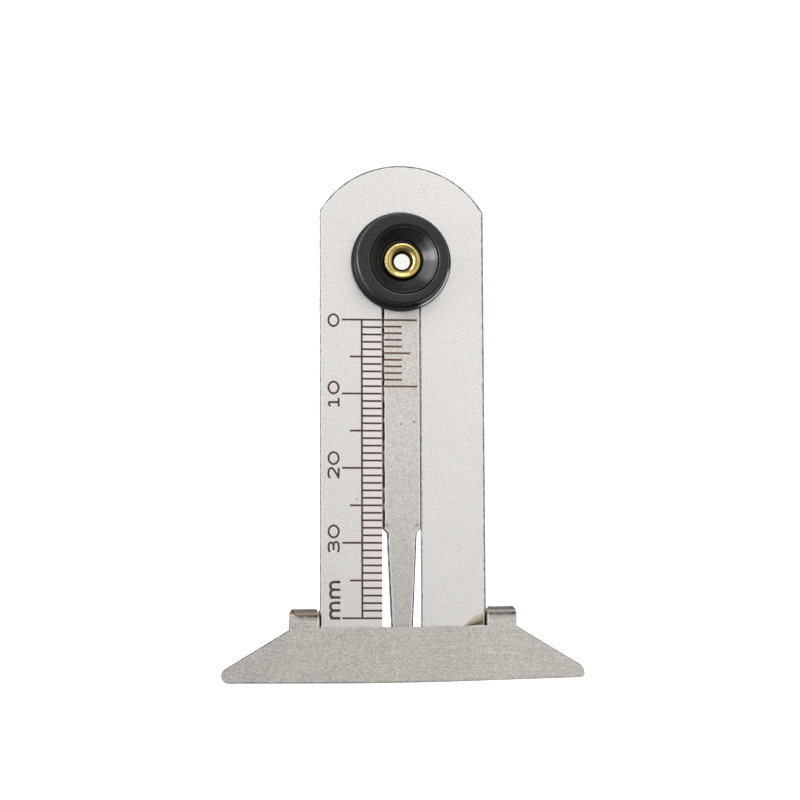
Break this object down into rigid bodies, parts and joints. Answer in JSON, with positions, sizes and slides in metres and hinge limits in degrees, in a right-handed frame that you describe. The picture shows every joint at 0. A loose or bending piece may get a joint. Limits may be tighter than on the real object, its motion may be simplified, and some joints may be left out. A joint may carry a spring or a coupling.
{
  "type": "tire tread depth gauge",
  "caption": "Flat steel depth gauge: a folded foot rests on the tread, and a probe with a vernier slides down a slotted millimetre scale.",
  "frame": {"origin": "middle of the underside of the whole gauge as it lies on its back, level with the rear knob's rim", "axes": "+X across the plate to the right, +Y up the plate from the foot to the arched top, +Z out of the printed face"},
  "size_m": [0.0482, 0.0698, 0.0073],
  "materials": {
    "plate_steel": "satin, rolled sheet",
    "foot_steel": "fine matt grain",
    "blade_steel": "satin, ground along its length",
    "knob_plastic": "semi-gloss black moulding",
    "eyelet_brass": "polished",
    "print_ink": "dark maroon printed line"
  },
  "bodies": {
    "frame": {"scale_plate": "plate_steel", "foot_bracket": "foot_steel", "scale_print": "print_ink"},
    "slider": {"probe_blade": "blade_steel", "front_knob": "knob_plastic", "rear_knob": "knob_plastic", "brass_eyelet": "eyelet_brass", "vernier_print": "print_ink"}
  },
  "joints": [
    {"name": "depth_slide", "type": "slide", "parent": "frame", "child": "slider", "axis": [0, -1, 0], "range_m": [0, 0.042]}
  ]
}
